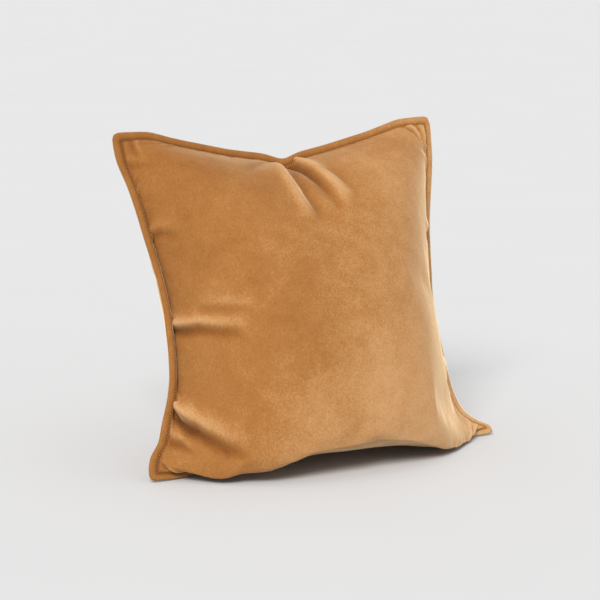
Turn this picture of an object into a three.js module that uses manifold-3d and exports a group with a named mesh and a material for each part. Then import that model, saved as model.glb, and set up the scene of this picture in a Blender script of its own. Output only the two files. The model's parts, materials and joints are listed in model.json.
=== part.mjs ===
// A square throw pillow that stands on its lower edge and leans back: a velvet cover with a
// stitched flange and a concealed zip, and inside it a fibre-filled insert.
// Millimetres, +Z up. +X is right as seen from the front, and the front faces -Y.
// The origin is on the floor, under the middle of the whole pillow.
import * as THREE from "three";
import { mergeVertices } from "three/addons/utils/BufferGeometryUtils.js";
import Module from "manifold-3d";

const wasm = await Module();
wasm.setup();

// The cover as it is cut and sewn, lying flat
const STITCHED_SIDE = 480; // side of the square inside the topstitching
const FLANGE_WIDTH = 10; // flat edge outside the topstitching
const VELVET = 1.5; // cover cloth
const FLANGE_GAP = 1; // between the flange's two layers
const COVER_THREAD = 0.5; // diameter of the topstitching
const RIM_THREAD = 0.4; // diameter of the seam that joins the flange's layers
const RIM_SETBACK = 2; // rim seam to the flange's outer edge

// The cover as it is filled: how far the filling draws the seams in from the flat square
const FILLED_THICKNESS = 216;
const CORNER_PULL = 14; // of the upper corners, down the pillow
const TOP_SPREAD_PULL = 24; // and from the sides
const SIDE_PULL = 60;
const BASE_SPREAD_PULL = 5; // the lower corners lie flat on the floor, so they keep their width
const BASE_CORNER_PULL = 68; // but the floor pushes them up
const BASE_SIDE_PULL = 87;

// How it stands
const LEAN = THREE.MathUtils.degToRad(18);
const FLOOR_PRESS = 15; // how deep the lower back is pressed flat
const FRONT_CLEARANCE = 9; // lower front lobe above the floor
const NESTED_SAG_SHORT = 5; // each inner layer sags this much less than the one around it

// The insert
const INSERT_SETBACK = 12; // its seam inside the cover's seam
const INSERT_CORNER_SETBACK = 22; // its corners, which don't fill the cover's
const INSERT_CLEARANCE = 2.5; // its faces inside the cover's cloth
const INSERT_CLOTH = 0.8;
const INSERT_GAP = 1; // between the two layers of its sewn edge
const INSERT_EDGE = 4; // width of its sewn edge
const INSERT_THREAD = 0.4;
const FILLING_SETBACK = 3; // filling inside the insert's seam
const FILLING_CORNER_SETBACK = 14;
const FILLING_CLEARANCE = 1.4; // filling inside the insert's cloth
const FILLING_EDGE = 2; // thickness of the filling at its edge

// The concealed zip, under the back panel beside the lower seam
const ZIP_SETBACK = 9; // its slot, behind the plane of the flange
const ZIP_LENGTH = 320; // coils, between the stops
const ZIP_SLOT_WIDTH = 2;
const ZIP_SLOT_EXTRA = 6; // slot and tapes past the coils, at each end
const TAPE_UPPER_WIDTH = 11.5;
const TAPE_LOWER_WIDTH = 6.2;
const TAPE_THICKNESS = 0.5;
const TAPE_DEPTH = 2.2; // tapes inside the lower seam's line
const TAPE_APART = 2.2;
const TAPE_THREAD = 0.4;
const COIL_WIDTH = 2.2;
const COIL_HEIGHT = 1.9;
const STOP_LENGTH = 3;
const SLIDER_LENGTH = 11;
const SLIDER_WALL = 0.8;
const SLIDER_PLATE = 1.2;
const SLIDER_NECK_WIDTH = 1;
const SLIDER_NECK_LENGTH = 8;
const CROWN_WIDTH = 5.2;
const CROWN_DEPTH = 1.9; // crown plate outside the lower seam's line
const CROWN_PLATE = 1;
const EYE_RADIUS = 0.45; // bar that the pull tab hangs on
const EYE_DROP = 1.3; // bar below the crown plate
const LUG_INNER = 2.8; // between the two lugs that carry the bar
const LUG_THICKNESS = 0.8;
const LUG_RADIUS = 1.1;
const SLIDER_FROM_STOP = 4.5; // gap between the closed slider and its stop
const TAB_LENGTH = 14.8;
const TAB_WIDTH = 5;
const TAB_KNUCKLE_RADIUS = 1.05;
const TAB_HOLE_CLEARANCE = 0.15;
const TAB_THICKNESS = 1.1;
const CLEARANCE = 0.3; // between pieces that touch

// Shape of the filled lobes
const CROWN_POWER = 3; // flatness of the crown
const CROWN_ROUNDNESS = 0.7; // how steeply it rises from the seam
const BASE_SEAM_POWER = 12; // how straight the zip keeps the lower seam
const BASE_CROWN_EXTRA = 7; // how even the zip keeps the lobe beside it
const BASE_ZONE = 0.4; // share of the half height where the zip evens the lobe
const SLUMP = 0.2; // share of the filling that has settled downwards
const SAG_ZONE = 0.7; // share of the half height over which the lower lobes sag
const SAG_SIDE_POWER = 6;

// Fineness of the surfaces
const COVER_CELLS = 20;
const INSERT_CELLS = 14;
const SEAM_STEPS = 80;

const COLOURS = {
  velvet: 0xb07a3c,
  thread: 0xb9823f,
  tape: 0x9a6a33,
  nylon: 0xa8763c,
  metal: 0xb59a5e,
  lining: 0xe9e4da,
  fibre: 0xf4f2ee,
};
const FRONT = -1;
const BACK = 1;

const pillow = new THREE.Group();

function addPart(name, geometry, colour, metalness = 0, parent = pillow) {
  const material = new THREE.MeshStandardMaterial({
    color: COLOURS[colour],
    roughness: metalness ? 0.35 : 0.9,
    metalness,
  });
  const mesh = new THREE.Mesh(geometry, material);
  mesh.name = name;
  parent.add(mesh);
  return mesh;
}

// --- Solids that are joined or cut

function solidOf(geometry) {
  const bare = geometry.clone();
  bare.deleteAttribute("normal");
  bare.deleteAttribute("uv");
  const merged = mergeVertices(bare, 1e-4);
  return new wasm.Manifold(
    new wasm.Mesh({
      numProp: 3,
      vertProperties: new Float32Array(merged.getAttribute("position").array),
      triVerts: new Uint32Array(merged.index.array),
    }),
  );
}

function geometryOf(solid) {
  const mesh = solid.getMesh();
  const geometry = new THREE.BufferGeometry();
  const points = new THREE.BufferAttribute(mesh.vertProperties, 3);
  geometry.setAttribute("position", points);
  geometry.setIndex(new THREE.BufferAttribute(mesh.triVerts, 1));
  geometry.computeVertexNormals();
  return geometry;
}

function blockSolid(low, high) {
  const size = high.map((value, axis) => value - low[axis]);
  const middle = high.map((value, axis) => (value + low[axis]) / 2);
  return solidOf(new THREE.BoxGeometry(...size).translate(...middle));
}

// --- The filled form: a leaning square of two lobes, flat where the floor presses it

const share = (value) => THREE.MathUtils.clamp(value, 0, 1);
const crown = (value, power) => (1 - Math.abs(value) ** power) ** CROWN_ROUNDNESS;
const sagShare = (t) => Math.sin(Math.PI * share((-t - 1 + SAG_ZONE) / SAG_ZONE));

const half = STITCHED_SIDE / 2;
const flangeHalf = FLANGE_GAP / 2 + VELVET;
const baseCorner = half - BASE_CORNER_PULL;
const centreHeight =
  (baseCorner + FLANGE_WIDTH) * Math.cos(LEAN) + flangeHalf * Math.sin(LEAN);

// Across the pillow, up its leaning plane, and out of that plane towards the back
function leaned(across, up, back) {
  return new THREE.Vector3(
    across,
    up * Math.sin(LEAN) + back * Math.cos(LEAN),
    centreHeight + up * Math.cos(LEAN) - back * Math.sin(LEAN),
  );
}

// The lobe on one face before it sags, where s and t run from -1 to 1 between the seams
function lobe(form, s, t) {
  const wide = THREE.MathUtils.lerp(form.baseSpread, form.topSpread, (1 + t) / 2);
  const across = s * (wide - (wide - form.side) * (1 - t * t));
  const upper = form.corner - (form.corner - form.side) * (1 - s * s);
  const bow = (form.baseCorner - form.baseSide) * Math.abs(s) ** BASE_SEAM_POWER;
  const up = t * (t < 0 ? form.baseSide + bow : upper);
  const nearBase = share((-t - 1 + BASE_ZONE) / BASE_ZONE);
  const evened = CROWN_POWER + BASE_CROWN_EXTRA * nearBase ** 2;
  const rise = crown(s, evened) * crown(t, CROWN_POWER) * (1 - SLUMP * t);
  return { across, up, out: form.halfThickness * rise };
}

// The sag that brings the middle of one lower lobe down to a height
function sagTo(form, face, height) {
  let sag = Infinity;
  for (let t = -0.99; t < SAG_ZONE - 1.02; t += 0.01) {
    const { across, up, out } = lobe(form, 0, t);
    const drop = leaned(across, up, face * (out + form.edge)).z - height;
    sag = Math.min(sag, drop / (sagShare(t) * Math.cos(LEAN)));
  }
  return Math.max(sag, 0);
}

// A nested form: its seam inside the cover's seam, its lobes thinner, and its own floor
function makeForm(layer, setback, cornerSetback, thinner, floor, edge) {
  const form = {
    corner: half - CORNER_PULL - cornerSetback,
    side: half - SIDE_PULL - setback,
    topSpread: half - TOP_SPREAD_PULL - cornerSetback,
    baseSpread: half - BASE_SPREAD_PULL - cornerSetback,
    baseCorner: baseCorner - cornerSetback,
    baseSide: half - BASE_SIDE_PULL - setback,
    halfThickness: FILLED_THICKNESS / 2 - thinner,
    floor,
    edge,
  };
  const short = layer * NESTED_SAG_SHORT;
  form.sag = {
    [BACK]: sagTo(form, BACK, floor - FLOOR_PRESS + short),
    [FRONT]: sagTo(form, FRONT, floor + FRONT_CLEARANCE + short),
  };
  return form;
}

function surfacePoint(form, face, s, t) {
  const { across, up, out } = lobe(form, s, t);
  const sag = form.sag[face] * sagShare(t) * (1 - Math.abs(s) ** SAG_SIDE_POWER);
  const point = leaned(across, up - sag, face * (form.edge + out));
  point.z = Math.max(point.z, form.floor);
  return point;
}

function surfaceNormal(form, face, s, t) {
  const step = 1e-3;
  const along = surfacePoint(form, face, s + step, t);
  along.sub(surfacePoint(form, face, s - step, t));
  const upward = surfacePoint(form, face, s, t + step);
  upward.sub(surfacePoint(form, face, s, t - step));
  return along.cross(upward).multiplyScalar(-face).normalize();
}

// Grid lines crowd towards the seams, where the lobes turn most
const gridShare = (line, cells) => Math.sin(Math.PI * (line / cells - 0.5));
const inPlane = (across, up) => leaned(across, up, 0).sub(leaned(0, 0, 0));
const outOfPlane = (back) => leaned(0, 0, back).sub(leaned(0, 0, 0));

// A box splits the squares of its last side along the other diagonal than those of the side opposite.
// Split the same way, the two walls of a thin bent panel stay parallel.
function matchDiagonals(geometry) {
  const { index } = geometry;
  const { start, count } = geometry.groups.at(-1);
  for (let i = start; i < start + count; i += 6) {
    const [a, b, d, c] = [0, 1, 2, 4].map((step) => index.getX(i + step));
    [a, b, c, a, c, d].forEach((corner, step) => index.setX(i + step, corner));
  }
}

// One cloth panel with a flat edge band outside its seam. The seam is the last grid line but one.
function sewnPanel(form, face, cloth, band, cells) {
  const lines = cells + 2;
  const geometry = new THREE.BoxGeometry(lines, lines, 1, lines, lines, 1);
  const points = geometry.getAttribute("position");
  for (let i = 0; i < points.count; i += 1) {
    const column = Math.round(points.getX(i) + lines / 2) - 1;
    const row = Math.round(points.getY(i) + lines / 2) - 1;
    const s = gridShare(THREE.MathUtils.clamp(column, 0, cells), cells);
    const t = gridShare(THREE.MathUtils.clamp(row, 0, cells), cells);
    const outS = Number(column > cells) - Number(column < 0);
    const outT = Number(row > cells) - Number(row < 0);
    const onSeam = column <= 0 || column >= cells || row <= 0 || row >= cells;
    const point = surfacePoint(form, face, s, t);
    point.add(inPlane(outS * band, outT * band));
    const isInner = points.getZ(i) * face > 0;
    if (isInner && onSeam) {
      point.add(outOfPlane(-face * cloth));
      const inS = outS || outT ? 0 : -Math.round(s) * Number(Math.abs(s) === 1);
      const inT = outS || outT ? 0 : -Math.round(t) * Number(Math.abs(t) === 1);
      point.add(inPlane(inS * cloth, inT * cloth));
    } else if (isInner) {
      point.addScaledVector(surfaceNormal(form, face, s, t), -cloth);
    }
    points.setXYZ(i, point.x, point.y, point.z);
  }
  matchDiagonals(geometry);
  geometry.computeVertexNormals();
  return geometry;
}

// A solid that fills a form, with a narrow edge
function filledBody(form, cells) {
  const geometry = new THREE.BoxGeometry(cells, cells, 1, cells, cells, 1);
  const points = geometry.getAttribute("position");
  for (let i = 0; i < points.count; i += 1) {
    const s = gridShare(Math.round(points.getX(i) + cells / 2), cells);
    const t = gridShare(Math.round(points.getY(i) + cells / 2), cells);
    const face = points.getZ(i) > 0 ? FRONT : BACK;
    const point = surfacePoint(form, face, s, t);
    points.setXYZ(i, point.x, point.y, point.z);
  }
  geometry.computeVertexNormals();
  return geometry;
}

// A thread all round a seam, set outside it by a distance and off the plane by another
function seamThread(form, outside, back, diameter) {
  const sides = 4;
  const geometry = new THREE.TorusGeometry(1, 0.1, sides, SEAM_STEPS);
  const points = geometry.getAttribute("position");
  const perSide = SEAM_STEPS / 4;
  for (let i = 0; i < points.count; i += 1) {
    const stepIndex = i % (SEAM_STEPS + 1);
    const turn = (2 * Math.PI * Math.floor(i / (SEAM_STEPS + 1))) / sides;
    const side = Math.floor(stepIndex / perSide) % 4;
    const along = gridShare(stepIndex % perSide, perSide);
    const s = [along, 1, -along, -1][side];
    const t = [-1, along, 1, -along][side];
    const outS = Number(Math.abs(s) > 0.9999) * Math.sign(s);
    const outT = Number(Math.abs(t) > 0.9999) * Math.sign(t);
    const reach = outside + (diameter / 2) * Math.cos(turn);
    const { across, up } = lobe(form, s, t);
    const lift = back - (diameter / 2) * Math.sin(turn);
    const point = leaned(across + outS * reach, up + outT * reach, lift);
    points.setXYZ(i, point.x, point.y, point.z);
  }
  geometry.computeVertexNormals();
  return geometry;
}

// --- The zip, in a frame whose x runs along the lower seam, y towards the back and z into the cover

const seamFrame = new THREE.Group();
seamFrame.position.copy(leaned(0, -(half - BASE_SIDE_PULL), ZIP_SETBACK));
seamFrame.rotation.x = -LEAN;
pillow.add(seamFrame);
const coilDepth = TAPE_DEPTH + TAPE_THICKNESS + CLEARANCE;
const coilStart = TAPE_APART / 2 + 0.2;
const plateDepth = coilDepth + COIL_HEIGHT + CLEARANCE;
const zipHalf = ZIP_LENGTH / 2;
const sliderRest = zipHalf - SLIDER_LENGTH / 2 - SLIDER_FROM_STOP;
const eyeDepth = -CROWN_DEPTH - CROWN_PLATE - EYE_DROP;

function zipSlot() {
  const reach = zipHalf + ZIP_SLOT_EXTRA;
  const width = ZIP_SLOT_WIDTH / 2;
  const cut = new THREE.BoxGeometry(2 * reach, 2 * width, 2 * plateDepth);
  seamFrame.updateMatrix();
  return solidOf(cut.applyMatrix4(seamFrame.matrix));
}

function tape(direction, width) {
  const reach = zipHalf + ZIP_SLOT_EXTRA;
  const geometry = new THREE.BoxGeometry(2 * reach, width, TAPE_THICKNESS);
  const middle = direction * (TAPE_APART / 2 + width / 2);
  return geometry.translate(0, middle, TAPE_DEPTH + TAPE_THICKNESS / 2);
}

function coil(direction) {
  const geometry = new THREE.CylinderGeometry(0.5, 0.5, ZIP_LENGTH, 12, 1);
  geometry.rotateZ(Math.PI / 2).scale(1, COIL_WIDTH, COIL_HEIGHT);
  const middle = direction * (coilStart + COIL_WIDTH / 2);
  return geometry.translate(0, middle, coilDepth + COIL_HEIGHT / 2);
}

function stop(end, from, to) {
  const near = zipHalf + CLEARANCE;
  const low = Math.min(end * near, end * (near + STOP_LENGTH));
  const geometry = new THREE.BoxGeometry(STOP_LENGTH, to - from, COIL_HEIGHT);
  geometry.translate(low + STOP_LENGTH / 2, (from + to) / 2, coilDepth + COIL_HEIGHT / 2);
  return geometry;
}

function tapeThread(direction, width) {
  const length = 2 * zipHalf;
  const geometry = new THREE.CylinderGeometry(TAPE_THREAD / 2, TAPE_THREAD / 2, length, 6, 1);
  const depth = TAPE_DEPTH + TAPE_THICKNESS + CLEARANCE + TAPE_THREAD / 2;
  const middle = direction * (TAPE_APART / 2 + width - 1);
  return geometry.rotateZ(Math.PI / 2).translate(0, middle, depth);
}

// A flat plate with a rounded nose at each end, drawn along x and y
function nosedPlate(length, width, low, high) {
  const nose = width / 2;
  const run = length / 2 - nose;
  const outline = new THREE.Shape();
  outline.moveTo(-run, -nose);
  outline.lineTo(run, -nose);
  outline.absarc(run, 0, nose, -Math.PI / 2, Math.PI / 2, false);
  outline.lineTo(-run, nose);
  outline.absarc(-run, 0, nose, Math.PI / 2, (3 * Math.PI) / 2, false);
  const geometry = new THREE.ExtrudeGeometry(outline, {
    depth: high - low,
    bevelEnabled: false,
    curveSegments: 6,
  });
  return solidOf(geometry.translate(0, 0, low));
}

function crossBar(radius, length) {
  return new THREE.CylinderGeometry(radius, radius, length, 16, 1);
}

function slider() {
  const wallInner = coilStart + COIL_WIDTH + CLEARANCE;
  const width = 2 * (wallInner + SLIDER_WALL);
  const top = plateDepth + SLIDER_PLATE;
  let body = nosedPlate(SLIDER_LENGTH, width, plateDepth, top);
  const ends = SLIDER_LENGTH / 2 - width / 2 + 2;
  for (const side of [-1, 1]) {
    const near = Math.min(side * wallInner, side * (wallInner + SLIDER_WALL));
    const low = [-ends, near, coilDepth];
    const high = [ends, near + SLIDER_WALL, top];
    body = body.add(blockSolid(low, high));
  }
  const neckHalf = SLIDER_NECK_WIDTH / 2;
  const neckEnd = SLIDER_NECK_LENGTH / 2;
  const crownLow = -CROWN_DEPTH - CROWN_PLATE;
  const neckLow = [-neckEnd, -neckHalf, crownLow];
  body = body.add(blockSolid(neckLow, [neckEnd, neckHalf, top]));
  body = body.add(nosedPlate(SLIDER_LENGTH - 1, CROWN_WIDTH, crownLow, -CROWN_DEPTH));
  for (const side of [-1, 1]) {
    const middle = side * (LUG_INNER / 2 + LUG_THICKNESS / 2);
    const round = crossBar(LUG_RADIUS, LUG_THICKNESS).translate(0, middle, eyeDepth);
    const near = middle - LUG_THICKNESS / 2;
    const low = [-LUG_RADIUS, near, eyeDepth];
    const high = [LUG_RADIUS, near + LUG_THICKNESS, crownLow + CROWN_PLATE / 2];
    body = body.add(solidOf(round)).add(blockSolid(low, high));
  }
  const bar = crossBar(EYE_RADIUS, LUG_INNER + LUG_THICKNESS).translate(0, 0, eyeDepth);
  return geometryOf(body.add(solidOf(bar))).translate(sliderRest, 0, 0);
}

function pullTab() {
  const knuckleWidth = LUG_INNER - 2 * CLEARANCE;
  const knuckle = solidOf(crossBar(TAB_KNUCKLE_RADIUS, knuckleWidth));
  const hole = crossBar(EYE_RADIUS + TAB_HOLE_CLEARANCE, 2 * knuckleWidth);
  const shoulder = LUG_RADIUS + 2 * CLEARANCE;
  const neck = blockSolid(
    [-TAB_THICKNESS / 2, -knuckleWidth / 2, -shoulder - 1],
    [TAB_THICKNESS / 2, knuckleWidth / 2, 0],
  );
  const blade = new THREE.Shape();
  const wide = TAB_WIDTH / 2;
  blade.moveTo(-knuckleWidth / 2, -shoulder);
  blade.lineTo(-wide, -shoulder - wide);
  blade.lineTo(-wide, -TAB_LENGTH + wide);
  blade.absarc(0, -TAB_LENGTH + wide, wide, Math.PI, 2 * Math.PI, false);
  blade.lineTo(wide, -shoulder - wide);
  blade.lineTo(knuckleWidth / 2, -shoulder);
  const plate = new THREE.ExtrudeGeometry(blade, {
    depth: TAB_THICKNESS,
    bevelEnabled: false,
    curveSegments: 8,
  });
  plate.translate(0, 0, -TAB_THICKNESS / 2);
  plate.rotateX(Math.PI / 2).rotateZ(Math.PI / 2);
  const tab = knuckle.add(neck).add(solidOf(plate)).subtract(solidOf(hole));
  return geometryOf(tab).translate(sliderRest, 0, eyeDepth);
}

// --- The pieces

const coverForm = makeForm(0, 0, 0, 0, 0, flangeHalf);
const insertForm = makeForm(
  1,
  INSERT_SETBACK,
  INSERT_CORNER_SETBACK,
  VELVET + INSERT_CLEARANCE + INSERT_CLOTH,
  VELVET + INSERT_CLEARANCE,
  INSERT_GAP / 2 + INSERT_CLOTH,
);
const fillingForm = makeForm(
  2,
  INSERT_SETBACK + FILLING_SETBACK,
  INSERT_CORNER_SETBACK + FILLING_CORNER_SETBACK,
  VELVET + INSERT_CLEARANCE + 2 * INSERT_CLOTH + FILLING_CLEARANCE,
  VELVET + INSERT_CLEARANCE + INSERT_CLOTH + FILLING_CLEARANCE,
  FILLING_EDGE / 2,
);

function addCover() {
  const front = sewnPanel(coverForm, FRONT, VELVET, FLANGE_WIDTH, COVER_CELLS);
  addPart("cover_front_panel", front, "velvet");
  const back = sewnPanel(coverForm, BACK, VELVET, FLANGE_WIDTH, COVER_CELLS);
  addPart("cover_back_panel", geometryOf(solidOf(back).subtract(zipSlot())), "velvet");
  const beside = COVER_THREAD / 2 + CLEARANCE;
  const names = { [FRONT]: "topstitch_front_thread", [BACK]: "topstitch_back_thread" };
  for (const face of [FRONT, BACK]) {
    const back = face * (flangeHalf + beside);
    const thread = seamThread(coverForm, 2 * beside, back, COVER_THREAD);
    addPart(names[face], thread, "thread");
  }
  const rim = seamThread(coverForm, FLANGE_WIDTH - RIM_SETBACK, 0, RIM_THREAD);
  addPart("rim_seam_thread", rim, "thread");
}

function addInsert() {
  const names = { [FRONT]: "insert_front_panel", [BACK]: "insert_back_panel" };
  for (const face of [FRONT, BACK]) {
    const panel = sewnPanel(insertForm, face, INSERT_CLOTH, INSERT_EDGE, INSERT_CELLS);
    addPart(names[face], panel, "lining");
  }
  const thread = seamThread(insertForm, INSERT_EDGE / 2, 0, INSERT_THREAD);
  addPart("insert_seam_thread", thread, "lining");
  addPart("fibre_filling", filledBody(fillingForm, INSERT_CELLS), "fibre");
}

function addZip() {
  const add = (name, geometry, colour, metalness) =>
    addPart(name, geometry, colour, metalness, seamFrame);
  add("zip_tape_upper", tape(1, TAPE_UPPER_WIDTH), "tape");
  add("zip_tape_lower", tape(-1, TAPE_LOWER_WIDTH), "tape");
  add("zip_coil_upper", coil(1), "nylon");
  add("zip_coil_lower", coil(-1), "nylon");
  add("zip_thread_upper", tapeThread(1, TAPE_UPPER_WIDTH), "thread");
  add("zip_thread_lower", tapeThread(-1, TAPE_LOWER_WIDTH), "thread");
  const outer = coilStart + COIL_WIDTH;
  add("zip_bottom_stop", stop(-1, -outer, outer), "metal", 1);
  add("zip_top_stop_upper", stop(1, coilStart, outer), "metal", 1);
  add("zip_top_stop_lower", stop(1, -outer, -coilStart), "metal", 1);
  add("zip_slider", slider(), "metal", 1);
  add("zip_pull_tab", pullTab(), "metal", 1);
}

addCover();
addInsert();
addZip();

// The frame's origin: on the floor under the middle
const whole = new THREE.Box3().setFromObject(pillow, true);
const middle = whole.getCenter(new THREE.Vector3());
pillow.position.set(-middle.x, -middle.y, -whole.min.z);

export default pillow;
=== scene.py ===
# %% [markdown]
# # A velvet throw pillow
# A throw pillow is two squares of velvet sewn together with a flat edge left outside the stitching,
# and a softer cotton case of fibre inside. Its shape isn't drawn by anyone: the filling pushes, the
# cloth can't stretch, and the seams pull in. So this script cuts the cover flat, as a maker does,
# and lets Blender's Cloth fill it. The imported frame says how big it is, where it stands and how far
# it leans.

# %% The frame and the tools
import json
import math

import bmesh
import bpy
import numpy as np
from mathutils import Matrix, Vector


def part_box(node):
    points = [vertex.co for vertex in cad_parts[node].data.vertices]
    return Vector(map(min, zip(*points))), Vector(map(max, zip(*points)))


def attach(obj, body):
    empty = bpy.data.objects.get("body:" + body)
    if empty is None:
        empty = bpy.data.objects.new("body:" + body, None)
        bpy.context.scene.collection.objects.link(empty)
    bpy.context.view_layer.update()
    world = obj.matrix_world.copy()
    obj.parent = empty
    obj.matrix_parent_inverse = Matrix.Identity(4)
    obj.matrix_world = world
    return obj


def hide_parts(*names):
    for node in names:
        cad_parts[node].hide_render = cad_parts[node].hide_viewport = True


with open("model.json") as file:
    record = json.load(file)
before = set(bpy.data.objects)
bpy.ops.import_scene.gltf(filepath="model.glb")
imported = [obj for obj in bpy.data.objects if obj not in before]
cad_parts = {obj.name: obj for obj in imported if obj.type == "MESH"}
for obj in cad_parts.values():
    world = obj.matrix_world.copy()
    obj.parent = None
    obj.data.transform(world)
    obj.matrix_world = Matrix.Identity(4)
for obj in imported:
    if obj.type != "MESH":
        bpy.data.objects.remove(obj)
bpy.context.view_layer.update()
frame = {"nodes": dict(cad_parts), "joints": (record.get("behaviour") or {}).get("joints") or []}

MM = 0.001
BODY = "pillow"

# %% [markdown]
# ## The plane that the pillow leans in
# Every seam lies in one leaning plane. The pull tab's hinge is square to that plane, so its axis
# gives the lean. The rim seam's box gives a point of the plane. With those two, any place on the
# pillow can be said as a maker says it: across, up the pillow, and towards its back.

# %% Across, up and back
RIM_TOP = 234 * MM  # up from the flat cover's middle to the rim seam's upper corners
hinge = next(joint for joint in frame["joints"] if joint["name"] == "pull_tab_swing")
LEAN = math.atan2(-hinge["axis"][2], hinge["axis"][1])
rim_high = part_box("rim_seam_thread")[1]
MIDDLE = Vector((0, rim_high.y - RIM_TOP * math.sin(LEAN), rim_high.z - RIM_TOP * math.cos(LEAN)))


def leaned(across, up, back):
    """Places on the pillow, as world coordinates."""
    across, up, back = np.broadcast_arrays(across, up, back)
    y = MIDDLE.y + up * math.sin(LEAN) + back * math.cos(LEAN)
    z = MIDDLE.z + up * math.cos(LEAN) - back * math.sin(LEAN)
    return np.stack([across, y, z], -1)


print("lean", round(math.degrees(LEAN), 2), "middle", [round(v, 4) for v in MIDDLE])

# %% [markdown]
# ## The cover, cut flat
# The cover is two 480 mm squares joined all round, with a 10 mm flange outside the joint. It is one
# net of square cells: a grid for the front, its copy for the back, merged along the border, and the
# border extruded outwards for the flange. Cloth keeps the lengths of this flat net, which is what
# makes a filled pillow pinch and pucker.

# %% The flat net
SIDE = 480 * MM
HALF = SIDE / 2
FLANGE = 10 * MM
FRONT, EDGE, BACK = -1, 0, 1


def flat_net(cells):
    """The sewn cover before it is filled: x across, y up, and an int layer for the face."""
    net = bmesh.new()
    face = net.verts.layers.int.new("face")
    bmesh.ops.create_grid(net, x_segments=cells, y_segments=cells, size=HALF)
    for vert in net.verts:
        vert[face] = FRONT
    copy = bmesh.ops.duplicate(net, geom=net.verts[:] + net.edges[:] + net.faces[:])
    for piece in copy["geom"]:
        if isinstance(piece, bmesh.types.BMVert):
            piece[face] = BACK
        elif isinstance(piece, bmesh.types.BMFace):
            piece.normal_flip()
    border = [v for v in net.verts if max(abs(v.co.x), abs(v.co.y)) > HALF - MM]
    bmesh.ops.remove_doubles(net, verts=border, dist=MM / 100)
    sewn = [e for e in net.edges if all(max(abs(v.co.x), abs(v.co.y)) > HALF - MM for v in e.verts)]
    for vert in {v for e in sewn for v in e.verts}:
        vert[face] = EDGE
    rows = max(1, round(FLANGE * cells / SIDE))
    for row in range(1, rows + 1):
        grown = bmesh.ops.extrude_edge_only(net, edges=sewn)["geom"]
        outer = {g for g in grown if isinstance(g, bmesh.types.BMVert)}
        sewn = [g for g in grown if isinstance(g, bmesh.types.BMEdge) and set(g.verts) <= outer]
        old, new = HALF + (row - 1) * FLANGE / rows, HALF + row * FLANGE / rows
        for vert in outer:
            vert[face] = EDGE
            for axis in (0, 1):
                if abs(abs(vert.co[axis]) - old) < MM:
                    vert.co[axis] = math.copysign(new, vert.co[axis])
    return net


def net_arrays(net):
    """Where each point of the flat net lies, and which face it belongs to."""
    face = net.verts.layers.int["face"]
    flat = np.array([v.co.to_tuple() for v in net.verts])
    return flat, np.array([v[face] for v in net.verts])


# %% [markdown]
# ## How the seams lie once it is filled
# The filling draws every side in between its corners. The top is pressed down in the middle, as by
# the side of a hand, so its two halves run nearly straight to that dent. The lower corners lie out
# on the floor as two ears. Each side is a short list of points, in millimetres across and up,
# rounded a little between them.

# %% The four seams
TOP_SEAM = [(-216, 226), (-178, 225), (-145, 215), (-76, 198), (-25, 190), (0, 180),
            (22, 189), (62, 196), (127, 210), (176, 224), (216, 226)]
BASE_SEAM = [(-235, -172), (-214, -174), (-192, -172), (-178, -163), (-167, -153), (167, -153),
             (180, -162), (194, -170), (212, -174), (235, -172)]
LEFT_SEAM = [(-235, -172), (-231, -152), (-217, -138), (-212, -118), (-203, -94), (-196, -66),
             (-192, -30), (-191, 10), (-194, 50), (-199, 92), (-205, 134), (-211, 172),
             (-217, 200), (-216, 226)]
RIGHT_SEAM = [(235, -172), (212, -162), (195, -148), (184, -122), (179, -90), (177, -40), (177, 10),
              (183, 55), (191, 100), (201, 145), (211, 185), (216, 226)]
BASE_LEVEL = -153 * MM  # the straight stretch that the zip is sewn to
ROUNDING = 9 * MM
SEAM_STEPS = 600  # steps in which a seam is rounded


def along(seam, shares):
    """Points at these shares of a seam's length, with its bends rounded."""
    points = np.array(seam) * MM
    lengths = np.r_[0, np.cumsum(np.hypot(*np.diff(points, axis=0).T))]
    steps = np.linspace(0, lengths[-1], SEAM_STEPS)
    line = np.stack([np.interp(steps, lengths, points[:, axis]) for axis in (0, 1)], -1)
    reach = np.minimum(np.minimum(steps, steps[-1] - steps), ROUNDING) + 1e-6
    weight = np.exp(-(((steps[:, None] - steps) / reach[:, None]) ** 2))
    line = weight @ line / weight.sum(1)[:, None]
    return np.stack([np.interp(shares, steps / steps[-1], line[:, axis]) for axis in (0, 1)], -1)


def plan(p, q):
    """Where a point of the cover lies in the plane, from its shares across and up."""
    top, base, left, right = (
        along(seam, share) for seam, share in
        ((TOP_SEAM, p), (BASE_SEAM, p), (LEFT_SEAM, q), (RIGHT_SEAM, q)))
    ends = [along(seam, np.array([end]))[0] for seam in (BASE_SEAM, TOP_SEAM) for end in (0, 1)]
    p, q = p[:, None], q[:, None]
    corners = (1 - q) * ((1 - p) * ends[0] + p * ends[1]) + q * ((1 - p) * ends[2] + p * ends[3])
    return (1 - q) * base + q * top + (1 - p) * left + p * right - corners


# %% The cover stood up, before the filling settles
BOARD_START, BOARD_SLOPE, BOARD_RISE = -45 * MM, 0.06, 0.34
BOARD_MIDDLE, BOARD_WIDTH = -8 * MM, 112 * MM


def floor_height(x, y):
    """The floor, rising in front of its line of contact, most in the middle, under the overhang."""
    hump = np.exp(-(((x - BOARD_MIDDLE) / BOARD_WIDTH) ** 4))
    return np.maximum(0, BOARD_START - y) * (BOARD_SLOPE + BOARD_RISE * hump)


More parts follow.
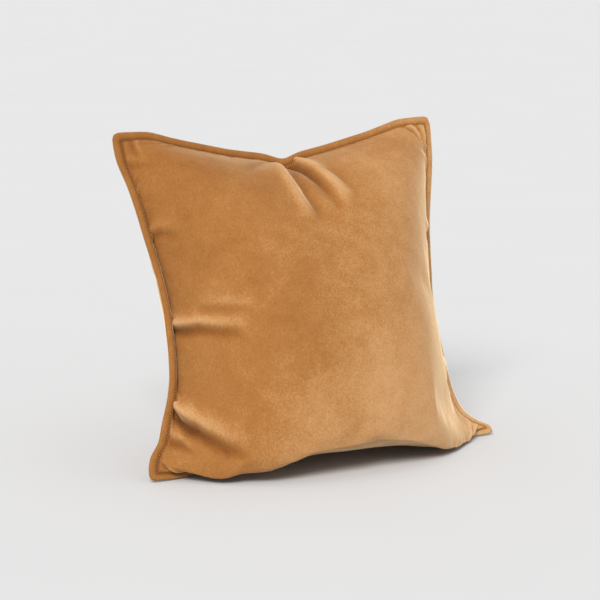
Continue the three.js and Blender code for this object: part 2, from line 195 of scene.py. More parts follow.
HALF_THICK = 108 * MM
PLACKET = 17 * MM  # flat strip beside the lower seam that carries the zip
PLACKET_REACH = 172 * MM
WAVE = 1.2 * MM  # how far the flange waves
WAVE_ACROSS, WAVE_UP = 61, 47  # radians of the wave in a metre
LEFT_BOW = 17 * MM  # how far the left seam bows forward
FRONT_SAG, BACK_SAG = 85 * MM, 60 * MM  # how far the lower lobes hang below a level line
SAG_START = -0.3  # share of the way up where the hanging starts
CLEAR_OF_FLOOR = 2 * MM


def crown(value):
    """How full the pillow is from its middle, at 0, to a seam, at -1 or 1."""
    return np.clip(1 - np.abs(value) ** 3, 0, None) ** 0.7


def stood_up(flat, face):
    """A first guess at the filled cover, in its place on the floor."""
    u, v = (np.clip(flat[:, axis] / HALF, -1, 1) for axis in (0, 1))
    s = u + (np.sin(u * math.pi / 2) - u) * crown(v)
    t = v + (np.sin(v * math.pi / 2) - v) * crown(u)
    place = plan((1 + s) / 2, (1 + t) / 2)
    over = flat[:, :2] - HALF * np.stack([u, v], -1)
    rise = HALF_THICK * crown(s) * crown(t) * (1 - 0.2 * t)
    low = np.sin(math.pi * np.clip((SAG_START - t) / (1 + SAG_START), 0, 1)) * (1 - np.abs(s) ** 8)
    sag = np.choose(face + 1, (FRONT_SAG, 0, BACK_SAG)) * low
    points = leaned(place[:, 0] + over[:, 0], place[:, 1] + over[:, 1] - sag, face * rise)
    lowest = CLEAR_OF_FLOOR + floor_height(points[:, 0], points[:, 1])
    points[:, 2] = np.maximum(points[:, 2], lowest)
    on_placket = (face == BACK) & (flat[:, 1] < PLACKET - HALF) & (abs(flat[:, 0]) < PLACKET_REACH)
    strip = leaned(place[:, 0], BASE_LEVEL, flat[:, 1] + HALF)
    points[on_placket] = strip[on_placket]
    held = (face == EDGE) | on_placket
    wave = WAVE * np.sin(flat[:, 0] * WAVE_ACROSS + 1.3) * np.sin(flat[:, 1] * WAVE_UP + 0.4)
    free_edge = (face == EDGE) & ~((flat[:, 1] < 0) & (abs(flat[:, 0]) < PLACKET_REACH + FLANGE))
    bow = LEFT_BOW * (1 - t ** 2) * np.clip(-s, 0, 1)
    points[free_edge] += leaned(0, 0, (wave - bow)[free_edge]) - leaned(0, 0, 0)
    return points, held


# %% [markdown]
# ## Filling it
# Cloth with pressure stands for the filling: the pressure aims at one volume, as a set weight of
# fibre does. The seams are held where the last step put them, the floor is a collider, and the
# cloth between finds its own crowns, puckers and sagging lobes. A coarse net settles first, in
# seconds, and then a net twice as fine starts from its result.

# %% A floor and a board for the cloth to rest on
def shaping_floor():
    """The floor and the board in front, as a collider."""
    net = bmesh.new()
    bmesh.ops.create_grid(net, x_segments=80, y_segments=80, size=0.4)
    for vert in net.verts:
        vert.co.z = floor_height(vert.co.x, vert.co.y)
    mesh = bpy.data.meshes.new("shaping_floor")
    net.to_mesh(mesh)
    net.free()
    board = bpy.data.objects.new("shaping_floor", mesh)
    bpy.context.collection.objects.link(board)
    board.modifiers.new("Collision", "COLLISION")
    board.collision.thickness_outer = 2 * MM
    board.collision.cloth_friction = 20
    return board


# %% The cloth run
VOLUME = 0.0213  # cubic metres of filling and air


def group(piece, name, chosen):
    """A vertex group of the chosen points."""
    made = piece.vertex_groups.new(name=name)
    made.add([int(i) for i in np.nonzero(chosen)[0]], 1.0, "REPLACE")


def settle(net, start, held, frames, bending):
    """Run the cloth from its start, with the flat net's lengths, and give where it ends."""
    flat, face = net_arrays(net)
    mesh = bpy.data.meshes.new("filling")
    net.to_mesh(mesh)
    cover = bpy.data.objects.new("filling", mesh)
    bpy.context.collection.objects.link(cover)
    cover.shape_key_add(name="stood_up").data.foreach_set("co", start.ravel())
    cover.shape_key_add(name="flat").data.foreach_set("co", flat.ravel())
    group(cover, "held", held)
    group(cover, "pushed", np.abs(flat[:, :2]).max(1) < HALF + MM)
    cloth = cover.modifiers.new("Cloth", "CLOTH")
    settings = cloth.settings
    settings.quality = 6
    settings.mass = 0.3
    settings.tension_stiffness = settings.compression_stiffness = 40
    settings.shear_stiffness = 10
    settings.bending_stiffness = bending
    settings.vertex_group_mass = "held"
    settings.rest_shape_key = mesh.shape_keys.key_blocks["flat"]
    settings.use_pressure = settings.use_pressure_volume = True
    settings.vertex_group_pressure = "pushed"
    settings.target_volume = VOLUME
    settings.pressure_factor = 60
    settings.uniform_pressure_force = 0
    settings.effector_weights.gravity = 0
    cloth.collision_settings.distance_min = 2 * MM
    cloth.collision_settings.use_self_collision = False
    cloth.point_cache.frame_end = frames
    bpy.context.scene.frame_end = frames
    for frame_number in range(1, frames + 1):
        bpy.context.scene.frame_set(frame_number)
    settled = cover.evaluated_get(bpy.context.evaluated_depsgraph_get()).data
    result = np.empty(len(flat) * 3, np.float32)
    settled.vertices.foreach_get("co", result)
    bpy.data.objects.remove(cover)
    bpy.context.scene.frame_set(1)
    return result.reshape(-1, 3).astype(float)


def finer_start(flat, face, coarse_flat, coarse_face, coarse_points, cell):
    """Each point of the finer net, halfway between the coarse net's points around it."""
    where = {}
    for place, side, point in zip(coarse_flat, coarse_face, coarse_points):
        where[(round(place[0] / cell), round(place[1] / cell), int(side))] = point
    start = []
    for place, side in zip(flat, face):
        x, y = place[0] / cell, place[1] / cell
        spots = [(a, b) for a in {math.floor(x + 0.01), math.ceil(x - 0.01)}
                 for b in {math.floor(y + 0.01), math.ceil(y - 0.01)}]
        around = [where.get((*spot, int(side)), where.get((*spot, EDGE))) for spot in spots]
        start.append(np.mean([point for point in around if point is not None], axis=0))
    return np.array(start)


# %% Fill the cover
COARSE_CELLS, FINE_CELLS = 48, 96
COARSE_FRAMES, FINE_FRAMES = 50, 26
COARSE_BENDING, FINE_BENDING = 0.8, 0.25
board = shaping_floor()
coarse = flat_net(COARSE_CELLS)
coarse_flat, coarse_face = net_arrays(coarse)
start, held = stood_up(coarse_flat, coarse_face)
start = settle(coarse, start, held, COARSE_FRAMES, COARSE_BENDING)
fine = flat_net(FINE_CELLS)
flat, face = net_arrays(fine)
filled = finer_start(flat, face, coarse_flat, coarse_face, start, SIDE / COARSE_CELLS)
stood, held = stood_up(flat, face)
filled[held] = stood[held]
filled = settle(fine, filled, held, FINE_FRAMES, FINE_BENDING)
bpy.data.objects.remove(board)
print("filled", filled.min(0).round(3), filled.max(0).round(3))

# %% [markdown]
# ## Two velvet panels from one net
# The settled net becomes two pieces, as the real cover is two. Each keeps its own layer of the
# flange. A Subdivision Surface rounds the net once more, and every point carries the flat place it
# came from, so that stitches, puckers and the slot for the zip can be laid out in flat millimetres.

# %% One panel, smoothed
PILE = leaned(0, 0, 1.0) - leaned(0, 0, 0.0)  # out of the seams' plane, towards the back


def panel(side):
    """One side of the settled cover with its flange, a square finer than the cloth's net."""
    part = fine.copy()
    part.verts.ensure_lookup_table()
    layer = part.verts.layers.int["face"]
    place = part.verts.layers.float_vector.new("flat")
    for vert, point in zip(part.verts, filled):
        vert[place] = vert.co
        vert.co = point
    other = [f for f in part.faces if any(v[layer] == -side for v in f.verts)]
    bmesh.ops.delete(part, geom=other, context="FACES")
    bmesh.ops.recalc_face_normals(part, faces=part.faces)
    outwards = sum((f.normal * f.calc_area() for f in part.faces), Vector())
    if outwards.dot(Vector(PILE)) * side < 0:
        bmesh.ops.reverse_faces(part, faces=part.faces)
    mesh = bpy.data.meshes.new("panel")
    part.to_mesh(mesh)
    part.free()
    rough = bpy.data.objects.new("panel", mesh)
    bpy.context.collection.objects.link(rough)
    smoothing = rough.modifiers.new("Round", "SUBSURF")
    smoothing.levels = smoothing.render_levels = 1
    smooth = bpy.data.meshes.new_from_object(rough.evaluated_get(bpy.context.evaluated_depsgraph_get()))
    bpy.data.objects.remove(rough)
    return smooth


def read(mesh):
    """A panel's points, their places on the flat cover, and their normals."""
    points = np.empty(len(mesh.vertices) * 3, np.float32)
    mesh.vertices.foreach_get("co", points)
    places = np.empty(len(mesh.vertices) * 3, np.float32)
    mesh.attributes["flat"].data.foreach_get("vector", places)
    normals = np.empty(len(mesh.vertices) * 3, np.float32)
    mesh.vertices.foreach_get("normal", normals)
    return (a.reshape(-1, 3).astype(float) for a in (points, places, normals))


# %% The flange's two layers
# Millimetres outside the seam, and how far each layer lies off the seams' plane. The layers are
# pressed together at the stitching and at the rim, and a little plump between. Just inside the
# stitching the cloth swells over it.
FLANGE_PROFILE = ((-16, 0.0), (-7.5, 2.0), (-5, 2.6), (-2.5, 2.3), (0, 0.95), (1.2, 1.5), (3.5, 2.1),
                  (6.5, 2.1), (9, 1.7), (10, 1.2))


def lift_flange(points, places, side):
    """Move a panel's edge off the seams' plane, by the flange's profile."""
    outside = np.abs(places[:, :2]).max(1) - HALF
    steps, lifts = np.array(FLANGE_PROFILE).T * MM
    lift = np.interp(outside, steps, lifts, left=0)
    return points + side * lift[:, None] * PILE


# %% [markdown]
# ## Folds that a hand leaves
# The cloth run gives the big forms. The few sharp folds of a pillow that has been karate-chopped and
# sat against are strokes over the flat cover: a path in flat millimetres, with a valley along it and
# a rounded lip beside it, both fading at the ends. They move the real surface, and they also drive
# painted light in the velvet's colour: a painted highlight on a lip, and painted shade in a valley
# and in the groove of the stitching.

# %% Fold strokes
def from_stroke(places, path):
    """Distance of each flat place from a path, to its left, and how far along it is, from 0 to 1."""
    corners = np.array(path) * MM
    lengths = np.hypot(*np.diff(corners, axis=0).T)
    best = np.full(len(places), np.inf)
    left, share = np.zeros(len(places)), np.zeros(len(places))
    gone = 0
    for a, b, length in zip(corners, corners[1:], lengths):
        ahead = (b - a) / length
        offset = places[:, :2] - a
        t = np.clip(offset @ ahead, 0, length)
        gap = offset - t[:, None] * ahead
        distance = np.hypot(*gap.T)
        nearer = distance < best
        best[nearer] = distance[nearer]
        side = np.sign(ahead[0] * offset[:, 1] - ahead[1] * offset[:, 0])
        left[nearer] = (side * distance)[nearer]
        share[nearer] = ((gone + t) / lengths.sum())[nearer]
        gone += length
    return left, share


LIP_ASIDE, VALLEY_WIDTH = 1.3, 0.8  # both as shares of a fold's width


def fold(places, path, valley, lip, width, open_start=False):
    """How far each place rises, in metres, for one fold: a valley and a lip to the path's left."""
    left, share = from_stroke(places, path)
    fade = np.sin(math.pi * np.clip(share, 0, 1)) ** 0.6
    if open_start:
        fade = np.cos(math.pi / 2 * np.clip(share, 0, 1)) ** 0.7
    across = left / (width * MM)
    shape = (lip * np.exp(-((across - LIP_ASIDE) ** 2))
             - valley * np.exp(-((across / VALLEY_WIDTH) ** 2)))
    return shape * fade * MM


# %% Where the folds are
# Each is a path in flat millimetres, its valley and its lip in millimetres, its width, and whether
# it starts open at a seam. The lip lies to the left of the path.
FRONT_FOLDS = [
    # from the dent in the top seam
    ([(9, 240), (10, 190), (12, 155), (16, 122), (22, 88)], 9.0, 6.0, 7, True),
    ([(-4, 80), (-9, 118), (-8, 160), (-3, 205), (2, 238)], 5.0, 5.0, 8, False),
    ([(44, 104), (37, 132), (30, 162)], 2.0, 1.6, 6, False),
    ([(-30, 205), (-42, 180), (-60, 150)], 2.0, 1.6, 9, False),
    # the upper corners
    ([(-226, 236), (-217, 214), (-205, 190)], 2.8, 2.4, 5, True),
    ([(-236, 196), (-214, 184), (-192, 170)], 1.2, 1.0, 7, True),
    ([(200, 240), (208, 220), (212, 192)], 4.2, 3.6, 5, True),
    ([(224, 240), (228, 220), (226, 196)], 3.6, 3.0, 5, True),
    ([(238, 190), (215, 182), (192, 172)], 1.4, 1.2, 7, True),
    # the left side
    ([(-240, 84), (-205, 79), (-165, 66)], 2.6, 2.4, 7, True),
    ([(-240, -30), (-205, -31), (-172, -30), (-136, -38), (-108, -48)], 6.0, 5.5, 7, True),
    ([(-172, -10), (-136, -16), (-98, -25)], 1.5, 1.7, 6, False),
    ([(-240, -142), (-208, -124), (-186, -109), (-162, -102), (-140, -101), (-118, -106)],
     9.0, 6.0, 8, True),
    # the lower left ear
    ([(-240, -190), (-217, -160), (-190, -136)], 4.5, 4.0, 6, True),
    ([(-238, -222), (-222, -229), (-200, -236)], 3.4, 3.0, 5, False),
    # the right side and ear
    ([(170, 50), (208, 57), (240, 62)], 3.0, 3.0, 7, False),
    ([(176, -84), (210, -90), (240, -94)], 3.4, 3.4, 7, False),
    ([(180, -188), (212, -204), (240, -212)], 4.4, 3.8, 6, False),
    ([(190, -210), (218, -222), (240, -228)], 3.8, 3.2, 5, False),
]
BACK_FOLDS = [
    ([(8, 240), (4, 200), (-4, 165)], 3.0, 2.4, 9, True),
    ([(-240, 40), (-205, 34), (-175, 30)], 1.2, 1.0, 9, True),
    ([(240, 20), (205, 12), (170, 8)], 2.4, 2.2, 8, True),
    ([(-240, -150), (-205, -130), (-175, -112)], 4.0, 3.6, 9, True),
    ([(240, -140), (208, -124), (172, -112)], 3.6, 3.4, 9, True),
]
PUCKER_GAP = 27  # millimetres between the small puckers beside the seams
chance = np.random.default_rng(11)


def small_puckers():
    """Short shallow pleats square to each seam, where the stitching gathers the velvet."""
    made = []
    for turn in range(4):
        for place in np.arange(-205, 206, PUCKER_GAP):
            slide, lean_over = chance.uniform(-9, 9), chance.uniform(-12, 12)
            reach, depth = chance.uniform(16, 44), chance.uniform(0.3, 0.85)
            path = [(place + slide, 240), (place + slide + lean_over, 240 - reach)]
            for _ in range(turn):
                path = [(y, -x) for x, y in path]
            made.append((path, depth, depth, chance.uniform(4, 7), True))
    return made


# %% Make the panels
LIP_START = 4 * MM  # a fold's lip is full from this far inside the stitching
VALLEY_SLOPE = 0.4  # and its valley is never deeper than this share of the way in


def risen(places, folds):
    """How far all the folds of one side lift each flat place."""
    inward = np.clip(HALF - np.abs(places[:, :2]).max(1), 0, None)
    rise = sum((fold(places, *given) for given in folds), np.zeros(len(places)))
    return np.maximum(rise * np.clip(inward / LIP_START, 0, 1), -VALLEY_SLOPE * inward)


PAINTED_SHADING_RISE = 7 * MM  # a fold this high gets its full painted highlight on the lip and painted shade in the valley
STITCH_SHADOW = 2 * MM


def stitch_shadow(places):
    """How far into the groove along the stitching each place lies, from 0 to 1."""
    outside = np.abs(places[:, :2]).max(1) - HALF
    return np.exp(-((outside / STITCH_SHADOW) ** 2))


def cover_panel(name, side, folds):
    """One velvet panel with its folds and its flange, and the painted highlight and shade that the
    folds set in its colour.
    """
    mesh = panel(side)
    points, places, normals = read(mesh)
    rise = risen(places, folds)
    points += normals * rise[:, None]
    points = lift_flange(points, places, side)
    mesh.vertices.foreach_set("co", points.ravel())
    # Painted highlight and shade in the colour: paler on a fold's lip, darker in its valley and in the
    # stitching's groove
    painted_fold_shading = np.clip(rise / PAINTED_SHADING_RISE, -1, 1) - stitch_shadow(places)
    mesh.attributes.new("painted_fold_shading", "FLOAT", "POINT").data.foreach_set("value", painted_fold_shading)
    for polygon in mesh.polygons:
        polygon.use_smooth = True
    piece = bpy.data.objects.new(name, mesh)
    bpy.context.collection.objects.link(piece)
    return piece


velvet_front = cover_panel("velvet_front", FRONT, FRONT_FOLDS + small_puckers())
velvet_back = cover_panel("velvet_back", BACK, BACK_FOLDS + small_puckers())

# %% [markdown]
# ## The slot for the zip
# The back panel lies flat beside the lower seam, where the zip's slot runs. The row of squares over
# the slot goes, and the row beside it is moved to the slot's edge.

# %% Open the slot
SLOT_NEAR, SLOT_FAR = 8 * MM, 10 * MM  # behind the seam
slot_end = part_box("zip_tape_upper")[1].x


def open_slot(piece):
    """Cut the zip's slot along the lower seam."""
    net = bmesh.new()
    net.from_mesh(piece.data)
    flat_place = net.verts.layers.float_vector["flat"]
    row = SIDE / FINE_CELLS / 2
    third_row = 3 * row
    near = [v for v in net.verts if abs(v[flat_place].y + HALF - third_row) < row / 4
            and abs(v[flat_place].x) < slot_end]
    for vert in near:
        vert.co += Vector(PILE) * (SLOT_NEAR - third_row)
        vert[flat_place] += Vector((0, SLOT_NEAR - third_row, 0))
    over = [f for f in net.faces if all(
        SLOT_NEAR - MM / 4 < v[flat_place].y + HALF < SLOT_FAR + MM / 4
        and abs(v[flat_place].x) < slot_end for v in f.verts)]
    bmesh.ops.delete(net, geom=over, context="FACES")
    net.to_mesh(piece.data)
    net.free()
    print(piece.name, "slot squares", len(over))


open_slot(velvet_back)

# %% [markdown]
# ## Cloth has a thickness
# Solidify gives the panels the velvet's thickness, inwards.

# %% Thickness
VELVET = 0.9 * MM
for piece in (velvet_front, velvet_back):
    thickness = piece.modifiers.new("Velvet", "SOLIDIFY")
    thickness.thickness = VELVET
    thickness.offset = -1

# %% [markdown]
# ## Stitches
# The topstitching is a row of short lockstitches, one every few millimetres, on each face. Each is
# one small rounded bead, pulled into the cloth. The rim is closed from inside, so only a fine thread
# shows in the groove between the flange's layers.

# %% Seam points
def ring_points(piece, outside):
    """The panel's points at one distance outside the seam, in order round it, with their normals."""
    points, places, normals = read(piece.data)
    chosen = np.abs(np.abs(places[:, :2]).max(1) - HALF - outside) < MM / 4
    turn = np.arctan2(places[chosen, 1], places[chosen, 0])
    order = np.argsort(turn)
    return points[chosen][order], normals[chosen][order]


def spaced(points, normals, step):
    """Places every step along a closed line, with the line's direction and the cloth's normal."""
    loop = np.vstack([points, points[:1]])
    lengths = np.r_[0, np.cumsum(np.linalg.norm(np.diff(loop, axis=0), axis=1))]
    count = round(lengths[-1] / step)
    at = np.arange(count) * lengths[-1] / count
    turned = np.vstack([normals, normals[:1]])
    def read_at(values, where):
        return np.stack([np.interp(where % lengths[-1], lengths, v) for v in values.T], -1)
    ahead = read_at(loop, at + step / 4) - read_at(loop, at - step / 4)
    return read_at(loop, at), ahead, read_at(turned, at)


# %% Topstitching
STITCH_PITCH, STITCH_LENGTH, THREAD = 3.4 * MM, 2.5 * MM, 0.5 * MM
STITCH_RISE = 0.35 * THREAD  # middle of a bead above the cloth
BATCH = 25  # beads made at a time, which is quicker than all in one net


def topstitching(name, panel_piece, side):
    """One face's row of lockstitches, as a bead for each."""
    row = bmesh.new()
    places, ahead, _ = spaced(*ring_points(panel_piece, 0), STITCH_PITCH)
    beads = list(zip(places, ahead))
    for first in range(0, len(beads), BATCH):
        few = bmesh.new()
        for place, direction in beads[first:first + BATCH]:
            x = Vector(direction).normalized()
            y = (Vector(PILE) * side).cross(x).normalized()
            turn = Matrix((x, y, x.cross(y))).transposed().to_4x4()
            size = Matrix.Diagonal((STITCH_LENGTH / 2, THREAD / 2, THREAD / 2, 1))
            matrix = Matrix.Translation(place + side * PILE * STITCH_RISE) @ turn @ size
            bmesh.ops.create_uvsphere(few, u_segments=6, v_segments=5, radius=1, matrix=matrix)
        some = bpy.data.meshes.new("some_stitches")
        few.to_mesh(some)
        few.free()
        row.from_mesh(some)
        bpy.data.meshes.remove(some)
    return finished(name, row, smooth=True)


def finished(name, net, smooth=False):
    """A named piece from a bmesh."""
    mesh = bpy.data.meshes.new(name)
    net.to_mesh(mesh)
    net.free()
    for polygon in mesh.polygons:
        polygon.use_smooth = smooth
    piece = bpy.data.objects.new(name, mesh)
    bpy.context.collection.objects.link(piece)
    print(name, "faces", len(mesh.polygons))
    return piece


stitches_front = topstitching("topstitching_front", velvet_front, FRONT)
stitches_back = topstitching("topstitching_back", velvet_back, BACK)

# %% Rim thread
RIM_RADIUS = 0.2 * MM


def rim_thread(name):
    """A fine thread in the groove at the rim: a small ring swept round it."""
    points, _ = ring_points(velvet_front, FLANGE)
    back_points, _ = ring_points(velvet_back, FLANGE)
    middle = (points + back_points) / 2
    loop = np.roll(middle, -1, 0) - np.roll(middle, 1, 0)
    net = bmesh.new()
    rings = []
    for place, ahead in zip(middle, loop):
        outward = Vector(ahead).normalized().cross(Vector(PILE))
        ring = [net.verts.new(Vector(place) + (outward * math.cos(a) + Vector(PILE) * math.sin(a))
                              * RIM_RADIUS) for a in (0, math.pi / 2, math.pi, 3 * math.pi / 2)]
        rings.append([net.edges.new((ring[i], ring[(i + 1) % 4])) for i in range(4)])
    for one, following in zip(rings, rings[1:] + rings[:1]):
        bmesh.ops.bridge_loops(net, edges=one + following)
    bmesh.ops.recalc_face_normals(net, faces=net.faces)
    return finished(name, net, smooth=True)


rim = rim_thread("rim_thread")

# %% [markdown]
# ## What is inside
# The insert is a plain cotton case, a little smaller than the cover, and the fibre fills it. Nobody
# sees them with the zip shut, but they are what the cover lies on, so both take the settled shape,
# drawn in towards its middle. They give way under the cover's folds.

# %% The insert and its filling
CASE_SHARE, FIBRE_SHARE = 0.93, 0.91
FORM_UP, FORM_BACK = 20 * MM, 8 * MM  # the point that they are drawn in to


def sunk(side, folds, share):
    """How far one side's folds push each place of a form drawn in to this share."""
    return np.where(face == side, np.minimum(risen(flat * share, folds), 0), 0)


def inner_form(name, share):
    """The settled cover without its flange, drawn in, as one closed form."""
    net = fine.copy()
    net.verts.ensure_lookup_table()
    layer = net.verts.layers.int["face"]
    for vert, point in zip(net.verts, filled):
        vert.co = point
    bmesh.ops.recalc_face_normals(net, faces=net.faces)
    net.normal_update()
    depths = sunk(FRONT, FRONT_FOLDS, share) + sunk(BACK, BACK_FOLDS, share)
    for vert, depth in zip(net.verts, depths):
        vert.co += vert.normal * depth
    edge_faces = [f for f in net.faces if all(v[layer] == EDGE for v in f.verts)
                  and max(abs(flat[v.index, :2]).max() for v in f.verts) > HALF + MM]
    bmesh.ops.delete(net, geom=edge_faces, context="FACES")
    loose = [v for v in net.verts if not v.link_faces]
    bmesh.ops.delete(net, geom=loose, context="VERTS")
    middle = Vector(leaned(0.0, FORM_UP, FORM_BACK))
    for vert in net.verts:
        vert.co = middle + (vert.co - middle) * share
    bmesh.ops.recalc_face_normals(net, faces=net.faces)
    return finished(name, net, smooth=True)


insert_case = inner_form("insert_case", CASE_SHARE)
fibre = inner_form("fibre_filling_soft", FIBRE_SHARE)

# %% [markdown]
# ## Velvet
# Velvet is a short upright pile. It looks deep where you look into it and pale where you look along
# it, which Principled's sheen gives, and it keeps the marks of hands: soft patches where the nap
# leans another way. The shade is a sum: a gradient down the pillow that paints the lower right paler,
# which is painted light together with the nap's lean, patches and smaller marks from two sizes of
# noise, the grain of the pile from a fine one, and painted highlight and shade from the folds.

# %% Material helpers
def new_material(name):
    material = bpy.data.materials.new(name)
    material.use_nodes = True
    return material, material.node_tree.nodes, material.node_tree.links


def noise(nodes, links, scale, detail, rough=0.5, distortion=0.0):
    texture = nodes.new("ShaderNodeTexNoise")
    texture.inputs["Scale"].default_value = scale
    texture.inputs["Detail"].default_value = detail
    texture.inputs["Roughness"].default_value = rough
    texture.inputs["Distortion"].default_value = distortion
    place = nodes.new("ShaderNodeTexCoord")
    links.new(place.outputs["Object"], texture.inputs["Vector"])
    return texture.outputs["Fac"]


def ramp(nodes, links, source, stops):
    made = nodes.new("ShaderNodeValToRGB")
    elements = made.color_ramp.elements
    while len(elements) < len(stops):
        elements.new(0.5)
    for element, (position, colour) in zip(elements, stops):
        element.position = position
        element.color = (*colour, 1)
    links.new(source, made.inputs["Fac"])
    return made.outputs["Color"]


def bumped(nodes, links, height, strength, distance, under=None):
    bump = nodes.new("ShaderNodeBump")
    bump.inputs["Strength"].default_value = strength
    bump.inputs["Distance"].default_value = distance
    links.new(height, bump.inputs["Height"])
    if under:
        links.new(under, bump.inputs["Normal"])
    return bump.outputs["Normal"]


def weighted(nodes, links, parts):
    """A sum of values, each with its weight."""
    total = None
    for source, weight in parts:
        term = nodes.new("ShaderNodeMath")
        term.operation = "MULTIPLY_ADD"
        links.new(source, term.inputs[0])
        term.inputs[1].default_value = weight
        term.inputs[2].default_value = 0
        if total:
            links.new(total, term.inputs[2])
        total = term.outputs[0]
    return total


# %% Velvet
# Painted light: the velvet is painted paler towards the lower right, for the light and sheen on that
# side, together with the nap's lean
NAP_AND_PAINTED_LIGHT_START = (-0.16, 0, 0.34)
NAP_AND_PAINTED_LIGHT_TURN = math.radians(38)
NAP_AND_PAINTED_LIGHT_LENGTH = 0.42
# The lowest stops show mostly where painted shade from fold valleys and the stitching's groove pulls
# the sum down
VELVET_SHADES = (
    (0.05, (0.10, 0.030, 0.005)),
    (0.34, (0.23, 0.083, 0.015)),
    (0.52, (0.31, 0.130, 0.033)),
    (0.68, (0.42, 0.215, 0.083)),
    (0.90, (0.52, 0.320, 0.165)),
)


def velvet_material():
    material, nodes, links = new_material("camel_velvet")
    cloth = nodes["Principled BSDF"]
    place = nodes.new("ShaderNodeTexCoord")
    turned = nodes.new("ShaderNodeMapping")
    turned.vector_type = "TEXTURE"
    turned.inputs["Location"].default_value = NAP_AND_PAINTED_LIGHT_START
    turned.inputs["Rotation"].default_value = (0, NAP_AND_PAINTED_LIGHT_TURN, 0)
    turned.inputs["Scale"].default_value = (NAP_AND_PAINTED_LIGHT_LENGTH, NAP_AND_PAINTED_LIGHT_LENGTH, NAP_AND_PAINTED_LIGHT_LENGTH)
    links.new(place.outputs["Object"], turned.inputs["Vector"])
    # Painted light: this gradient paints the velvet paler towards the lower right, with the nap's lean
    lean = nodes.new("ShaderNodeTexGradient")
    lean.gradient_type = "EASING"
    links.new(turned.outputs["Vector"], lean.inputs["Vector"])
    patches = noise(nodes, links, 7, 3, 0.55, 0.6)
    marks = noise(nodes, links, 55, 4, 0.65)
    grain = noise(nodes, links, 420, 2, 0.6)
    # Painted highlight and shade: this attribute pales the folds' lips and darkens their valleys and
    # the stitching's groove
    folds = nodes.new("ShaderNodeAttribute")
    folds.attribute_name = "painted_fold_shading"
    shade = weighted(nodes, links, ((lean.outputs["Fac"], 0.3), (patches, 0.36), (marks, 0.2),
                                    (grain, 0.3), (folds.outputs["Fac"], 0.4)))
    colour = ramp(nodes, links, shade, VELVET_SHADES)
    links.new(colour, cloth.inputs["Base Color"])
    cloth.inputs["Roughness"].default_value = 0.9
    cloth.inputs["Specular IOR Level"].default_value = 0.2
    cloth.inputs["Sheen Weight"].default_value = 0.9
    cloth.inputs["Sheen Roughness"].default_value = 0.36
    cloth.inputs["Sheen Tint"].default_value = (1.0, 0.78, 0.5, 1)
    pile = noise(nodes, links, 900, 2)
    nap = noise(nodes, links, 45, 3, 0.55)
    normal = bumped(nodes, links, nap, 0.25, 2 * MM)
    links.new(bumped(nodes, links, pile, 0.35, 0.4 * MM, normal), cloth.inputs["Normal"])
    return material


def thread_material(name, colour):
    """Spun polyester: a fine twist, with a slight gloss."""
    material, nodes, links = new_material(name)
    thread = nodes["Principled BSDF"]
    twist = nodes.new("ShaderNodeTexWave")
    twist.inputs["Scale"].default_value = 900
    twist.bands_direction = "DIAGONAL"
    place = nodes.new("ShaderNodeTexCoord")
    links.new(place.outputs["Object"], twist.inputs["Vector"])
    dark = tuple(c * 0.7 for c in colour)
    links.new(ramp(nodes, links, twist.outputs["Fac"], ((0.2, dark), (0.8, colour))),
              thread.inputs["Base Color"])
    thread.inputs["Roughness"].default_value = 0.55
    links.new(bumped(nodes, links, twist.outputs["Fac"], 0.5, 0.1 * MM), thread.inputs["Normal"])
    return material


def woven_material(name, dark, light, threads):
    """Plain weave for the lining and the zip's tapes: two crossing waves."""
    material, nodes, links = new_material(name)
    cloth = nodes["Principled BSDF"]
    place = nodes.new("ShaderNodeTexCoord")
    waves = []
    for direction in ("X", "Y"):
        wave = nodes.new("ShaderNodeTexWave")
        wave.bands_direction = direction
        wave.inputs["Scale"].default_value = threads
        links.new(place.outputs["Object"], wave.inputs["Vector"])
        waves.append(wave.outputs["Fac"])
    cross = nodes.new("ShaderNodeMath")
    cross.operation = "MULTIPLY"
    links.new(waves[0], cross.inputs[0])
    links.new(waves[1], cross.inputs[1])
    links.new(ramp(nodes, links, cross.outputs[0], ((0.1, dark), (0.8, light))),
              cloth.inputs["Base Color"])
    cloth.inputs["Roughness"].default_value = 0.85
    links.new(bumped(nodes, links, cross.outputs[0], 0.4, 0.2 * MM), cloth.inputs["Normal"])
    return material


def fibre_material():
    """Loose polyester fibre: white, with long cloudy strands."""
    material, nodes, links = new_material("polyester_fibre")
    strands = noise(nodes, links, 120, 6, 0.7, 2.0)
    fill = nodes["Principled BSDF"]
    links.new(ramp(nodes, links, strands, ((0.3, (0.7, 0.69, 0.66)), (0.7, (0.92, 0.91, 0.89)))),
              fill.inputs["Base Color"])
    fill.inputs["Roughness"].default_value = 0.95
    links.new(bumped(nodes, links, strands, 0.8, 3 * MM), fill.inputs["Normal"])
    return material


def nylon_material():
    """Moulded nylon coil, dyed to match."""
    material, nodes, links = new_material("dyed_nylon")
    nylon = nodes["Principled BSDF"]
    turns = nodes.new("ShaderNodeTexWave")
    turns.inputs["Scale"].default_value = 400
    place = nodes.new("ShaderNodeTexCoord")
    links.new(place.outputs["Object"], turns.inputs["Vector"])
    links.new(ramp(nodes, links, turns.outputs["Fac"],
                   ((0.2, (0.2, 0.1, 0.035)), (0.8, (0.42, 0.22, 0.08)))), nylon.inputs["Base Color"])
    nylon.inputs["Roughness"].default_value = 0.4
    links.new(bumped(nodes, links, turns.outputs["Fac"], 0.9, 0.5 * MM), nylon.inputs["Normal"])
    return material


